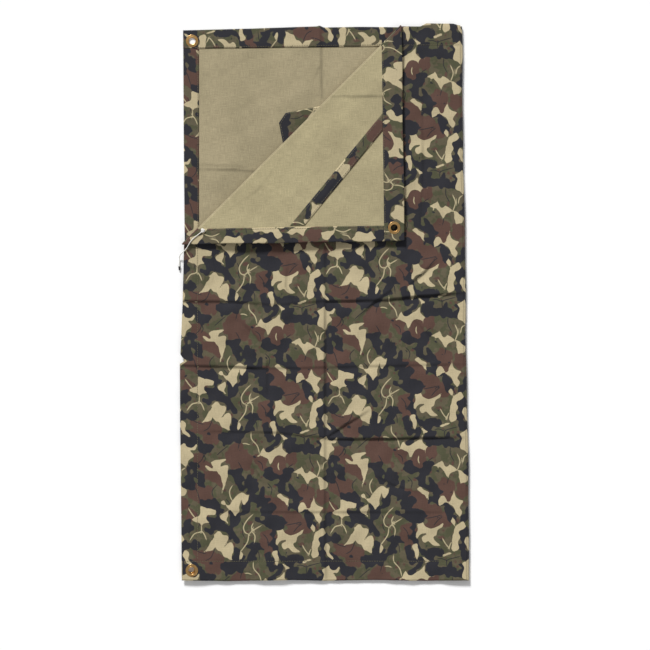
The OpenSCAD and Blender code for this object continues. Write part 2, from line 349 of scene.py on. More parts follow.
def floor_material():
    material, _, shader = new_material("floor")
    shader.inputs["Base Color"].default_value = (0.96, 0.96, 0.96, 1)
    shader.inputs["Roughness"].default_value = 0.9
    return material


# ---------- the print: one repeat, drawn in millimetres, u to the right and v down ----------

# The pattern repeats by these two steps; its corner lies on the front half's left edge
REPEAT_ACROSS = np.array([249.0, -12.0])
REPEAT_DOWN = np.array([4.0, 230.0])
REPEAT_CORNER = np.array([LEFT, -133.0])
# Outlines and lines, parted by semicolons. A star after a point makes it a sharp tip; elsewhere
# they run smoothly
TAN_LEAVES = """
27,-4 42,1 57,3* 53,12 40,14 38,20 45,26* 34,29 30,33 24,26 20,25 9,22* 17,16 26,12;
77,4* 64,11 63,20 70,25 79,31* 75,22 77,12;
41,47* 53,46 60,42 68,47 76,49 77,57 69,69* 80,60 87,69 83,84 86,95* 70,88 64,79 56,76 53,66* 48,77
  33,79* 42,66 45,59 52,51;
98,76 105,84 96,94* 97,85;
158,34* 166,40 174,36* 178,45 188,49 198,45 212,37* 207,47 200,52 198,60 192,64 196,72 206,79* 192,80
  184,72 176,74 170,66 178,58* 168,60 163,68 160,58 164,50;
246,36 251,46 238,54 241,66 236,72 238,84 226,90 224,66 230,48 238,38;
226,26* 222,36 229,45* 231,35;
249,62 247,74 253,86 262,93 267,92* 258,82 256,70 253,63;
164,76 153,79 156,86 158,94 163,109* 166,96;
172,99* 180,102 187,107 177,113* 176,105;
226,92* 219,91 212,92 205,97* 212,99;
-8,122* 0,119 7,112* 9,120 15,122 20,120 27,112* 24,126 14,129 21,137 12,146 10,152 8,159* 2,153 -4,150
  -6,141 -3,130;
82,143* 64,144 49,149 52,158 37,153* 46,164 59,166 66,176 69,186 69,200 66,215* 74,196 80,174 81,158
  76,155 67,157* 70,151;
124,142* 136,133 144,120* 148,131 160,127 176,115* 180,128 192,134* 184,137 183,151* 177,139 167,138
  155,152* 145,140 134,140;
211,140* 209,158 194,167* 202,170 200,188* 208,171 222,188* 229,179 239,178 241,190 243,200* 254,196
  257,188 252,180 238,172 224,163* 220,168 213,160;
65,221* 72,217 82,226 88,216 98,206 107,202 114,208 120,200* 116,216 110,226 105,222 104,214* 101,228
  100,238 92,246* 88,238 82,232;
165,209* 172,204 181,210 189,214 187,222 190,233* 181,222;
233,207* 236,222 250,230* 244,240 247,248 242,264* 234,246 228,237 216,234* 206,240 204,232 208,222
  215,221* 224,230
"""
DARK_LEAVES = """
2,24 12,26 14,34 8,46 0,40;
58,2 66,2 62,10 66,24 78,33 80,22 78,4 90,0 96,14 94,28 84,34 86,46 98,58 86,60 78,46 66,42 56,38 46,46
  36,38 46,33 38,20 48,17 54,14;
126,16 134,22 142,18 140,8 144,-6 152,-8 160,0 154,12 164,14 176,20 176,32 168,40 158,34 154,28 152,38
  146,38 142,26 130,26;
-4,62 10,60 28,66 27,70 14,72 -2,72;
84,76 94,74 100,86 108,94 106,108 98,114 88,108 84,94;
114,66 124,62 136,66 136,74 128,78 126,86 120,94 112,90 115,78;
66,98 80,95 88,100 86,112 78,118 68,112;
28,112 38,118 54,120 52,130 42,132 30,128;
6,96 18,98 26,106 24,120 16,122 8,116;
156,40 162,54 163,70 170,84 186,86 208,86 206,93 196,95 190,104 178,97 168,92 160,80 155,66;
146,84 152,82 156,96 160,108 154,112 146,104;
172,102 175,110 164,120 156,130 150,132 152,124 162,114 167,102;
178,116 190,108 198,104 199,116 212,120 218,118 222,106 225,118 240,122 244,113 249,124 244,132 226,132
  214,131 204,126 196,134 184,128;
237,52 248,50 258,56 258,64 248,62 248,72 246,82 254,92 262,104 256,110 246,102 240,90 241,74 243,64;
12,152 24,152 26,166 36,176 38,190 28,192 22,178 20,196 10,200 0,198 4,184 10,176 16,164;
84,164 106,162 106,176 108,188 118,172 124,176 132,190 130,204 118,206 112,196 100,200 98,186 86,172;
143,166 152,158 162,170 174,172 176,162 188,160 196,168 186,176 170,180 152,178;
172,182 180,180 182,196 187,200 192,188 196,196 202,208 210,214 204,224 196,220 188,208 178,204 170,194;
32,218 42,222 50,214 56,218 66,228 62,238 50,240 38,234 34,226;
122,206 132,206 140,216 136,226 126,222 120,230 112,240 104,238 108,228 116,218;
140,196 146,200 145,210 152,216 150,232 142,240 138,224 140,210;
184,-6 206,-4 210,6 196,6 186,2;
214,12 222,8 228,20 230,32 222,34 216,24;
242,26 252,22 256,32 246,36
"""
BROWN_LEAVES = """
176,12 188,8 206,12 214,24 224,30 220,44 206,44 196,50 184,44 178,30;
138,44 152,40 160,52 158,70 148,80 138,74 134,60;
18,76 34,82 48,78 60,80 68,92 66,106 54,116 40,112 32,98 20,92;
84,126 96,116 106,124 118,134 122,150 110,162 92,160 82,152 76,140;
24,134 34,132 38,146 50,152 46,160 28,158 22,148;
42,168 56,168 68,176 70,186 56,186 44,180;
128,142 142,142 148,156 146,164 134,158;
158,142 172,138 180,142 182,158 174,172 164,172 158,158;
186,138 198,134 200,144 192,152 186,148;
10,202 22,188 34,192 50,204 50,216 38,222 24,216 12,214;
206,196 216,190 228,196 234,206 232,222 222,232 210,218 206,206;
238,202 250,198 258,206 256,220 244,224 236,214;
146,212 160,212 172,216 182,228 184,240 160,244 150,236;
8,8 18,10 16,20 8,24 2,18
"""
TWIGS = """
7,1 12,10 18,18; 29,30 28,42 17,46 9,58; 28,40 34,47 38,57; 121,11 111,21 104,33 106,43 113,47;
113,47 121,40 136,31; 119,42 118,34 121,27; 119,42 124,50 123,62; 113,46 111,60 103,72 98,78;
208,66 213,75 220,84; 220,86 221,79 224,73; 121,96 122,108 132,120 136,134; 106,116 112,116 118,118;
238,176 243,160 238,146; 248,162 250,152 256,147; 88,190 83,200 84,210 88,218; 170,150 169,157 171,163
"""
VEINS = """
178,31 194,28 206,25; 192,44 200,34 208,28; 36,94 46,88 53,72; 217,122 216,106 228,101 240,98;
216,106 206,102 198,103; 226,134 226,146 233,160; 60,137 70,128 80,120; 26,152 34,144 38,132;
16,188 24,198 30,217; 86,100 88,108 87,114; 128,196 124,186 126,174; 20,10 26,22 24,36; 48,26 58,34 60,46;
100,24 104,34 102,44 106,54; 138,46 146,56 148,70; 14,70 24,78 38,82; 96,98 100,112 98,126;
120,66 130,78 132,92; 166,110 160,122 162,134; 186,112 192,124 190,134; 42,120 36,130 40,142 36,150;
98,148 104,160 100,174; 132,146 140,152 142,162; 196,152 186,160 184,170; 240,20 232,30 236,42;
60,190 52,200 54,212; 150,186 158,196 156,208; 214,176 222,188 220,200; 76,214 84,224 82,234;
224,60 232,74 230,88; 70,62 76,72 72,84
"""
TWIG_WIDTH = 0.95
VEIN_WIDTH = 0.7
# The print is worked out once on a fine grid, then read off at each point of the cloth
PRINT_CELL = 0.6
PRINT_LOW = np.array([-3.0, -15.0])
PRINT_SHAPE = (430, 412)
PRINT_REACH = 6.0
# Rounded lobes, about this long and wide, break up the leaves' outlines
LOBE_LONG = 9.0
LOBE_WIDE = 5.4
LOBES_ACROSS = 20
LOBES_DOWN = 18


def drawn_points(text):
    """The points of an outline or line. A sharp tip counts twice, which stops the smoothing."""
    points = []
    for word in text.split():
        point = [float(number) for number in word.strip("*").split(",")]
        points.extend([point] * (2 if word.endswith("*") else 1))
    return np.array(points)


def smooth_line(points, closed, parts=5):
    """A smooth line through the points, with a few steps between each two of them."""
    if closed:
        padded = np.vstack([points[-1], points, points[:2]])
    else:
        padded = np.vstack([2 * points[0] - points[1], points, 2 * points[-1] - points[-2]])
    count = len(padded) - 3
    before, starts, after, later = (padded[k:k + count] for k in range(4))
    made = []
    for part in range(parts):
        f = part / parts
        a = -0.5 * f + f ** 2 - 0.5 * f ** 3
        b = 1 - 2.5 * f ** 2 + 1.5 * f ** 3
        c = 0.5 * f + 2 * f ** 2 - 1.5 * f ** 3
        d = -0.5 * f ** 2 + 0.5 * f ** 3
        made.append(a * before + b * starts + c * after + d * later)
    line = np.stack(made, 1).reshape(-1, points.shape[1])
    return line if closed else np.vstack([line, points[-1]])


def repeats():
    return [i * REPEAT_ACROSS + j * REPEAT_DOWN for i in (-1, 0, 1) for j in (-1, 0, 1)]


def grid_window(line, reach=PRINT_REACH):
    """The part of the print grid around a line: its slices, and its points' u and v."""
    first = np.floor((line.min(0) - reach - PRINT_LOW) / PRINT_CELL).astype(int)
    last = np.ceil((line.max(0) + reach - PRINT_LOW) / PRINT_CELL).astype(int)
    first, last = np.maximum(first, 0), np.minimum(last, PRINT_SHAPE)
    if (last <= first).any():
        return None
    window = slice(first[0], last[0]), slice(first[1], last[1])
    u = PRINT_LOW[0] + PRINT_CELL * np.arange(first[0], last[0])
    v = PRINT_LOW[1] + PRINT_CELL * np.arange(first[1], last[1])
    return window, *np.meshgrid(u, v, indexing="ij")


def closest(line, u, v):
    """Distance to a line, the share of the way along it, and the side of it."""
    distance = np.full(u.shape, 1e9)
    share, side = np.zeros(u.shape), np.ones(u.shape)
    for k, (a, b) in enumerate(zip(line, line[1:])):
        way = b - a
        square = max(way @ way, 1e-9)
        along = np.clip(((u - a[0]) * way[0] + (v - a[1]) * way[1]) / square, 0, 1)
        off_u, off_v = u - a[0] - along * way[0], v - a[1] - along * way[1]
        here = np.hypot(off_u, off_v)
        nearer = here < distance
        distance[nearer] = here[nearer]
        share[nearer] = ((k + along) / (len(line) - 1))[nearer]
        side[nearer] = np.sign(way[0] * off_v - way[1] * off_u)[nearer]
    return distance, share, side


def enclosed(line, u, v):
    """Whether each point is inside a closed line."""
    inside = np.zeros(u.shape, bool)
    for a, b in zip(line, line[1:]):
        if a[1] == b[1]:
            continue
        crosses = (a[1] > v) != (b[1] > v)
        inside ^= crosses & (u < a[0] + (v - a[1]) * (b[0] - a[0]) / (b[1] - a[1]))
    return inside


def leaf_field(outlines):
    """How far each grid point lies inside the outlines, or outside them as a negative."""
    field = np.full(PRINT_SHAPE, -PRINT_REACH)
    for text in outlines.split(";"):
        outline = smooth_line(drawn_points(text), closed=True)
        outline = np.vstack([outline, outline[0]])
        for shift in repeats():
            found = grid_window(outline + shift)
            if found:
                window, u, v = found
                distance = closest(outline + shift, u, v)[0]
                signed = np.where(enclosed(outline + shift, u, v), distance, -distance)
                field[window] = np.maximum(field[window], signed)
    return np.clip(field, -PRINT_REACH, PRINT_REACH)


def lobe_field(seed):
    """Lobes side by side over the whole print: 1 at their middles and below 0 between them."""
    random = np.random.default_rng(seed)
    nearest = np.full(PRINT_SHAPE, 2.0)
    for i in range(LOBES_ACROSS):
        for j in range(LOBES_DOWN):
            place = np.array([i, j]) + random.uniform(-0.4, 0.4, 2)
            share_u, share_v = place / (LOBES_ACROSS, LOBES_DOWN)
            turn = random.uniform(0, math.pi)
            for shift in repeats():
                centre = share_u * REPEAT_ACROSS + share_v * REPEAT_DOWN + shift
                found = grid_window(centre[None], 2 * LOBE_LONG)
                if found:
                    window, u, v = found
                    along = (u - centre[0]) * math.cos(turn) + (v - centre[1]) * math.sin(turn)
                    off = (v - centre[1]) * math.cos(turn) - (u - centre[0]) * math.sin(turn)
                    here = np.hypot(along / LOBE_LONG, off / LOBE_WIDE)
                    nearest[window] = np.minimum(nearest[window], here)
    return 1 - nearest


def spread_to(field, share):
    """Grows or shrinks a colour's shapes until they cover this share of the cloth."""
    return field - np.quantile(field, 1 - share)


def line_field(lines, width):
    """Side, width and nearness of the closest line. A line thins out to nothing at its ends."""
    fields = np.zeros((3, *PRINT_SHAPE))
    fields[0] = fields[2] = PRINT_REACH
    for text in lines.split(";"):
        line = smooth_line(drawn_points(text), closed=False)
        for shift in repeats():
            found = grid_window(line + shift)
            if found:
                window, u, v = found
                distance, share, side = closest(line + shift, u, v)
                taper = np.sqrt(np.clip(8 * share * (1 - share), 0, 1))
                part = fields[(slice(None), *window)]
                nearer = distance < part[2]
                part[:, nearer] = np.array([side * distance, width * taper, distance])[:, nearer]
    return fields


def make_print():
    """The print's fields, each one value at each grid point."""
    dark_lobes, brown_lobes, green_lobes = lobe_field(1), lobe_field(2), lobe_field(3)
    dark = leaf_field(DARK_LEAVES) + 5.0 * dark_lobes - 4.0 * green_lobes
    tan = leaf_field(TAN_LEAVES) - 1.5 * dark_lobes - 1.0 * brown_lobes
    brown = leaf_field(BROWN_LEAVES) + 6.0 * brown_lobes - 4.0 * green_lobes
    return {
        "camo": [spread_to(dark, 0.34), spread_to(tan, 0.165), spread_to(brown, 0.3)],
        "twig": line_field(TWIGS, TWIG_WIDTH),
        "vein": line_field(VEINS, VEIN_WIDTH),
    }


PRINT = make_print()


def read_print(name, s, t):
    """The named fields at points of the pattern, as an array of points by fields."""
    u, v = s - REPEAT_CORNER[0], REPEAT_CORNER[1] - t
    steps = np.linalg.inv(np.array([REPEAT_ACROSS, REPEAT_DOWN]).T) @ np.array([u, v])
    steps -= np.floor(steps)
    u, v = np.array([REPEAT_ACROSS, REPEAT_DOWN]).T @ steps
    column, row = (u - PRINT_LOW[0]) / PRINT_CELL, (v - PRINT_LOW[1]) / PRINT_CELL
    i, j = np.floor(column).astype(int), np.floor(row).astype(int)
    f, g = column - i, row - j
    values = []
    for field in PRINT[name]:
        near = field[i, j] * (1 - g) + field[i, j + 1] * g
        far = field[i + 1, j] * (1 - g) + field[i + 1, j + 1] * g
        values.append(near * (1 - f) + far * f)
    return np.array(values).T


# ---------- how the cloth lies: its uneven edges, creases and waves ----------

# How far each edge lies outwards of its straight line, at places along the edge. It fades inwards
EDGE_FADE = 30
EDGES = {
    "back": {
        "top": [(LEFT, -6), (-130, -3), (-14, 1), (-9, 2.5), (-2, -1), (60, 0), (250, -1)],
        "left": [(BOTTOM, -2), (0, -4), (90, -3), (130, -2.5), (300, -1), (TOP, 0)],
        "bottom": [(LEFT, -2), (250, -2)],
    },
    "front": {
        "top": [(136, 0), (170, 0), (180, 5.5), (228, 5), (238, 2), (250, 2)],
        "left": [(BOTTOM, 2), (-300, 4), (-200, 5), (-106, 5.5), (-104, -4), (-98, -1),
                 (-91, 4.5), (-60, 3), (5, 0.5), (104, -2)],
        "bottom": [(LEFT, 0), (-170, 1.5), (-60, -0.5), (0, 1), (90, -0.5), (180, 1), (250, 0)],
    },
    "flap": {
        "top": [(LEFT, 0), (-150, 1), (-40, -0.5), (60, 0.8), (136, 0)],
        "left": [(104, 0), (180, -1), (260, 0.8), (340, -0.6), (420, 0.5), (TOP, 0)],
        "bottom": [(LEFT, 0)],
    },
}
# Creases: points along each one, with the size of the step there. Left of its way is the high side
CREASES = {
    "front": [
        [(-252, 4, 3.4), (-163, 3, 3.0), (-90, -3, 0.8), (-3, 4, 2.4), (4, 4, 4.6), (107, 6, 4.8),
         (160, 12, 6.4), (225, 17, 6.0), (249, 19, 2.0)],
        [(54, -31, 0), (89, 3, 4.2), (110, 18, 3.0), (125, 28, 0)],
        [(146, 29, 0), (175, 54, 5.0), (200, 79, 0)],
        [(-256, -110, 3.0), (-149, -113, 3.6), (-124, -115, 5.2), (-100, -115, 2.4), (-46, -115, 1.6),
         (60, -112, 1.8), (246, -108, 1.0)],
        [(-222, -227, 0.6), (-97, -229, 2.2), (-4, -238, 1.6), (9, -241, 4.6), (130, -240, 5.2),
         (205, -238, 4.0), (247, -238, 1.6)],
        [(6, -236, 2.4), (36, -216, 4.0), (60, -202, 3.0), (84, -186, 0)],
        [(-200, -370, 0.4), (9, -371, 1.8), (205, -371, 0.8)],
        [(2, -488, 1.6), (0, -400, 2.6), (0, -240, 2.4), (0, -110, 4.6), (0, -49, 3.4), (0, 20, 1.4),
         (0, 100, 1.8)],
        [(-131, -280, 0), (-118, -303, 2.4), (-105, -325, 0)],
        [(-103, -172, 0), (-103, -109, 3.0)],
        [(-45, -20, 0), (-70, 30, 2.0), (-66, 80, 0)],
        [(80, -300, 0), (120, -322, 1.8), (170, -337, 0)],
        [(168, 90, 0), (174, 250, 1.6), (170, 430, 0)],
        [(-160, -20, 0), (-120, -60, 1.8), (-95, -100, 0)],
        [(150, -20, 0), (190, -60, 1.6), (215, -90, 0)],
    ],
    "back": [
        [(-6, 367, 2.2), (-7, 460, 2.2), (-7, 488, 1.2)],
        [(-226, 239, 1.4), (-160, 238, 2.0), (-112, 234, 3.0)],
        [(-232, 248, 1.0), (-150, 244, 0.8)],
        [(-30, 380, 0), (-7, 425, 0.9), (5, 455, 0)],
    ],
    "flap": [
        [(2, 368, 1.6), (60, 367, 1.9), (101, 367, 1.2)],
        [(-196, 150, 0), (-120, 200, 0.9), (-60, 280, 0)],
        [(-60, 130, 0), (0, 190, 0.8), (80, 300, 0)],
    ],
}
# Waves: height, length, direction in degrees and phase
WAVES = {
    "front": [(0.8, 310, 20, 0.5), (0.6, 190, 100, 1.7), (0.5, 120, 55, 0.3), (0.4, 75, 150, 2.2),
              (0.34, 44, 65, 1.0), (0.26, 31, 160, 2.0), (0.3, 37, 110, 0.1)],
    "back": [(0.7, 260, 70, 0.2), (0.5, 150, 10, 1.1), (0.3, 90, 130, 0.7), (0.2, 47, 35, 0.3),
             (0.16, 36, 115, 1.9)],
    "flap": [(0.4, 240, 45, 2.0), (0.3, 130, 120, 0.4), (0.2, 80, 80, 1.3), (0.15, 42, 140, 0.6),
             (0.14, 33, 60, 2.4)],
}
# A coarse side of a sheet looks this far around for its least height
UNDER_REACH = 2.5
# Cloth that nearly touches other cloth stays this far off it
CLEARANCE = 0.2
# The free height between the hems of the back half and those of the front half
HEM_GAP = low("front_top_hem")[2] - high("back_top_hem")[2] - CLEARANCE
# How high the other layers' creases and waves may stand, each way
BACK_SWELL = 1.2
FLAP_SWELL = 0.8
FLAP_LIFT = 2.6


def along_edge(stations, at):
    places, values = zip(*stations)
    return np.interp(at, places, values)


def uneven(layer, s, t):
    """Moves points near the edges to where the real, uneven edges lie."""
    edges = EDGES[layer]
    up = along_edge(edges["top"], s) * np.clip(1 - (TOP - t) / EDGE_FADE, 0, 1) ** 2
    down = along_edge(edges["bottom"], s) * np.clip(1 - (t - BOTTOM) / EDGE_FADE, 0, 1) ** 2
    out = along_edge(edges["left"], t) * np.clip(1 - (s - LEFT) / EDGE_FADE, 0, 1) ** 2
    return s - out, t + up - down


def lay(layer, s, t):
    """Where points of the pattern lie: the turned corner is mirrored in the diagonal fold."""
    if layer != "flap":
        return s, t
    share = (t - s - DIAGONAL) / CORNER_LEG
    return t - DIAGONAL + TIP_LEAN[0] * share, s + DIAGONAL + TIP_LEAN[1] * share


def unlay(layer, x, y):
    """The pattern's point that lies at x, y."""
    if layer != "flap":
        return x, y
    s, t = y - DIAGONAL, x + DIAGONAL
    for _ in range(6):
        share = (t - s - DIAGONAL) / CORNER_LEG
        s, t = y - DIAGONAL - TIP_LEAN[1] * share, x + DIAGONAL - TIP_LEAN[0] * share
    return s, t


def off_fold(layer, s, t):
    """Keeps the front half and the turned corner just clear of each other along the diagonal."""
    past = (t - s - DIAGONAL) / math.sqrt(2)
    if layer == "front":
        move = np.minimum(-CLEARANCE - past, 0)
    else:
        move = np.maximum(CLEARANCE - past, 0) * (layer == "flap")
    return s - move / math.sqrt(2), t + move / math.sqrt(2)


def smooth_step(value, start, end):
    f = np.clip((value - start) / (end - start), 0, 1)
    return f * f * (3 - 2 * f)


def nearest_crease(crease, x, y):
    """Distance to a crease, the size of its step there, and whether a point is on its high side."""
    crease = np.array(crease, float)
    nearest, share, side = closest(crease[:, :2], x, y)
    places = np.linspace(0, 1, len(crease))
    return nearest, np.interp(share, places, crease[:, 2]), side > 0


def crease_height(layer, x, y):
    """The cloth climbs gently to each crease and drops steeply past it."""
    total = np.zeros_like(x)
    for crease in CREASES[layer]:
        nearest, size, left = nearest_crease(crease, x, y)
        high_side = smooth_step(np.where(left, nearest, -nearest), -1.4, 1.4)
        total += size * 0.4 * high_side * np.exp(-nearest / 15)
        total -= size * 0.6 * (1 - high_side) * np.exp(-nearest / 10)
    return total


def crease_shade_field(layer, x, y):
    """Painted shade along the creases, wider on their low side: 1 along the deepest and 0 away from them.
    """
    total = np.zeros_like(x)
    for crease in CREASES[layer]:
        nearest, size, left = nearest_crease(crease, x, y)
        # The painted shade reaches further on the low side, where a crease's shadow falls
        low_side = np.where(left, 1.6, 3.0)
        total = np.maximum(total, np.clip(size / 6, 0, 1) * np.exp(-(nearest / low_side) ** 2))
    return total


def lowest(layer, x, y):
    """The least height close by, for the side of a sheet with larger faces: it stays underneath."""
    steps = (-UNDER_REACH, 0, UNDER_REACH)
    return np.minimum.reduce([height(layer, x + i, y + j) for i in steps for j in steps])


def wave_height(layer, x, y):
    total = np.zeros_like(x)
    for swell, length, direction, phase in WAVES[layer]:
        angle = math.radians(direction)
        way = x * math.cos(angle) + y * math.sin(angle)
        total += swell * np.sin(2 * math.pi * way / length + phase)
    return total


def lift_height(x, y):
    """How far the turned corner's lower edge stands off, between the knot and its eyelet."""
    along = smooth_step(x, -200, -120) * (1 - smooth_step(x, -20, 90))
    return FLAP_LIFT * along * (1 - smooth_step(y, 108, 178))


def height(layer, x, y):
    """How far a layer stands above its level at each point. It lies flat at its eyelets, along
    its folds, and where another layer or a knot holds it down."""
    past_fold = (y - x - DIAGONAL) / math.sqrt(2)
    flat = 1.0
    for at in EYELETS_AT[layer]:
        flat = flat * smooth_step(np.hypot(x - at[0], y - at[1]), 14, 50)
    waves, creases = wave_height(layer, x, y), crease_height(layer, x, y)
    if layer == "back":
        bare = smooth_step(past_fold, 5, 50)
        bare = bare * smooth_step(x, LEFT + SIDE_HEM - 12, LEFT + 70)
        return flat * bare * BACK_SWELL * (1 + np.tanh((waves + creases) / BACK_SWELL))
    flat = flat * smooth_step(np.abs(past_fold), 2, 45)
    if layer == "flap":
        steady = smooth_step(np.hypot(x - KNOT_AT[0], y - KNOT_AT[1]), 20, 60)
        swell = FLAP_SWELL * (1 + np.tanh((waves + creases) / FLAP_SWELL))
        return flat * steady * swell + lift_height(x, y)
    # Between touching the layer under it and its highest, which is its level: when the front half
    # is turned over, no part of it may reach through the floor
    inside = smooth_step(x, LEFT + 30, LEFT + 60) * smooth_step(y, BOTTOM + 38, BOTTOM + 68)
    reach = (HEM_GAP + CLOTH * inside * (1 - smooth_step(y, TOP - 68, TOP - 38))) / 2
    flat = flat * (1 - 0.9 * smooth_step(x, 205, 246))
    return flat * reach * (np.tanh((waves + creases) / reach) - 1)


# ---------- cloth meshes ----------

PRINTED = cloth_material("printed_cloth", print_colour, thread_tone=0.35, roughness=0.8, gloss=0.25)
KHAKI = plain_material("plain_cloth", srgb(154, 143, 114), srgb(163, 151, 121))
# The turned corner has faded a little
FADED = plain_material("faded_cloth", srgb(162, 151, 118), srgb(171, 160, 125))
PLAIN = {"back": KHAKI, "front": KHAKI, "flap": FADED}


def average(points):
    return tuple(sum(values) / len(points) for values in zip(*points))


def lattice_side(polygons, fine):
    """One side of a sheet: its lattice points and faces. A fine side has smaller faces."""
    index = {}
    faces = []

    def number(point):
        return index.setdefault(point, len(index))

    for polygon in polygons:
        ring = [number(point) for point in polygon]
        if fine:
            centre = number(average(polygon))
            following = polygon[1:] + polygon[:1]
            mids = [number(average(pair)) for pair in zip(polygon, following)]
            faces += [[ring[k], mids[k], centre, mids[k - 1]] for k in range(len(ring))]
        else:
            faces.append(ring)
    return index, np.array(list(index), float), faces


def rim_edges(polygons):
    """The edges that belong to one polygon only."""
    edges = {pair for polygon in polygons for pair in zip(polygon, polygon[1:] + polygon[:1])}
    return [(a, b) for a, b in edges if (b, a) not in edges]


def signed_volume(points, faces):
    total = 0.0
    for size in {len(face) for face in faces}:
        group = points[np.array([face for face in faces if len(face) == size])]
        for k in range(1, size - 1):
            total += np.einsum("ij,ij", group[:, 0], np.cross(group[:, k], group[:, k + 1]))
    return total


def make_object(name, points, faces, materials, kinds=None, smooth=None):
    """A mesh object from points in millimetres, with its faces turned to look outwards."""
    if signed_volume(points, faces) < 0:
        faces = [face[::-1] for face in faces]
    mesh = bpy.data.meshes.new(name)
    mesh.from_pydata(points * MM, [], faces)
    for material in materials:
        mesh.materials.append(material)
    if kinds is not None:
        mesh.polygons.foreach_set("material_index", kinds)
    mesh.polygons.foreach_set("use_smooth", smooth if smooth is not None else [True] * len(faces))
    mesh.update()
    piece = bpy.data.objects.new(name, mesh)
    bpy.context.scene.collection.objects.link(piece)
    return piece


def set_vectors(mesh, name, values):
    made = mesh.attributes.new(name, "FLOAT_VECTOR", "POINT")
    made.data.foreach_set("vector", np.asarray(values, np.float32).ravel())


# The hole under an eyelet's flange, and how far around it the cloth's lattice makes room
HOLE_R = 8.8
HOLE_REACH = 15.0


def open_hole(s, t, centre, cell):
    """Opens the cloth under a flange: the cell that was left out becomes a round hole."""
    pull = np.clip(1 - np.hypot(s - cell[0], t - cell[1]) / HOLE_REACH, 0, 1)
    s, t = s + (centre[0] - cell[0]) * pull, t + (centre[1] - cell[1]) * pull
    out_s, out_t = s - centre[0], t - centre[1]
    r = np.maximum(np.hypot(out_s, out_t), 1e-6)
    opened = np.sqrt(r ** 2 * (1 - (HOLE_R / HOLE_REACH) ** 2) + HOLE_R ** 2)
    scale = np.where(r < HOLE_REACH, opened / r, 1)
    return centre[0] + out_s * scale, centre[1] + out_t * scale


def closed_sheet(name, cells, fine, place, materials, kinds=(0, 1)):
    """A closed mesh of two sides and the rim between them. place gives where a side's lattice
    points lie, their pattern points and their painted crease shade. kinds are the sides' materials."""
    points, pattern, crease_shade, faces, face_kinds, indices = [], [], [], [], [], []
    for side in (0, 1):
        index, lattice, side_faces = lattice_side(cells, fine[side])
        spots, pattern_spots, side_crease_shade = place(side, lattice)
        base = sum(len(p) for p in points)
        points.append(np.array(spots).T)
        pattern.append(np.array(pattern_spots))
        crease_shade.append(side_crease_shade)
        faces += [[base + k for k in face[::1 - 2 * side]] for face in side_faces]
        face_kinds += [kinds[side]] * len(side_faces)
        indices.append({point: base + k for point, k in index.items()})
    smooth = [True] * len(faces)
    for a, b in rim_edges(cells):
        between = average((a, b))
        ring = ((0, b), (0, between), (0, a), (1, a), (1, between), (1, b))
        faces.append([indices[side][point] for side, point in ring if point in indices[side]])
    rim = len(faces) - len(smooth)
    piece = make_object(name, np.vstack(points), faces, materials, face_kinds + [0] * rim,
                        smooth + [False] * rim)
    s, t = np.hstack(pattern)
    set_vectors(piece.data, "cloth", np.array([s, t, 0 * s]).T)
    # The painted crease shade that the cloth materials darken by
    set_vectors(piece.data, "crease_shade", np.array([np.hstack(crease_shade)] * 3).T)
    for field in PRINT:
        set_vectors(piece.data, field, read_print(field, s, t))
    return piece


def build_cloth(name, layer, cells, spread, print_at, eyelets=(), fine=(True, False), coarse=lowest):
    """A sheet of cloth on its layer. spread gives the pattern's s and t and the height over the
    layer's level, for lattice points on the printed (True) or plain side. coarse gives the
    layer's heights for a side with larger faces."""
    holes = []
    for eyelet in eyelets:
        centre = unlay(layer, *middle(eyelet + "_eyelet")[:2])
        s, t, _ = spread(np.array([average(cell) for cell in cells]), False)
        nearest = np.argmin(np.hypot(s - centre[0], t - centre[1]))
        holes.append((centre, (s[nearest], t[nearest])))
        cells = cells[:nearest] + cells[nearest + 1:]

    def place(side, lattice):
        s, t, z = spread(lattice, side == 0)
        for centre, cell in holes:
            s, t = open_hole(s, t, centre, cell)
        x, y = lay(layer, *uneven(layer, *off_fold(layer, s, t)))
        settle = height if fine[side] else coarse
        z = z + LEVEL[layer] + settle(layer, x, y)
        # Each point also gets its painted crease shade
        return (x, y, z), print_at(s, t), crease_shade_field(layer, x, y)

    return closed_sheet(name, cells, fine, place, [PRINTED, PLAIN[layer]])


def keep(piece, layer, node):
    """The piece stands for its CAD node and moves with its layer."""
    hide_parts(node)
    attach(piece, BODY[layer])
    return piece


# The front half's lattice: the diagonal fold runs through its points
CORNER_CELLS = 81
BELOW_CELLS = 124
RIGHT_CELLS = 23
COLUMNS = CORNER_CELLS + RIGHT_CELLS
ROWS = BELOW_CELLS + CORNER_CELLS
# The cloth's edge stays inside the rounded edge of its hem
TUCK = 1.2
# Seams run this far in from a hem's inner edge, and pull the cloth down this deep
SEAM_IN = 2.0
SEAM_DIP = 0.3


def pattern_grid(columns, rows, i, j):
    """Lattice points on the pattern, with the last stretch of columns fitted to the book fold."""
    t = np.interp(j, [0, rows * BELOW_CELLS / ROWS, rows], [BOTTOM, FOLD_END, TOP])
    start = columns * CORNER_CELLS / COLUMNS
    s = np.interp(i, [0, start], [LEFT, FOLD_START])
    beyond = np.clip((i - start) / (columns - start), 0, 1)
    return s + beyond * (fold_x(t) - FOLD_START), t


def panel_spread(layer, columns, rows):
    def spread(lattice, printed):
        s, t = pattern_grid(columns, rows, lattice[:, 0], lattice[:, 1])
        s, t = np.maximum(s, LEFT + TUCK), np.clip(t, BOTTOM + TUCK, TOP - TUCK)
        z = -HEM_SIDE[layer] * CLOTH * printed - seam_dip(layer, s, t)
        return s, t, z
    return spread


def same_print(s, t):
    return s, t


def back_print(s, t):
    """The back half carries the print on past the book fold."""
    return 2 * BOOK_AT[0] - s, t


def hem_slant(layer, s):
    """The back half's top hem is a little wider at its left end: how far its inner edge is raised."""
    return np.interp(s, [LEFT, 130], [-4, 2]) if layer == "back" else 0.0


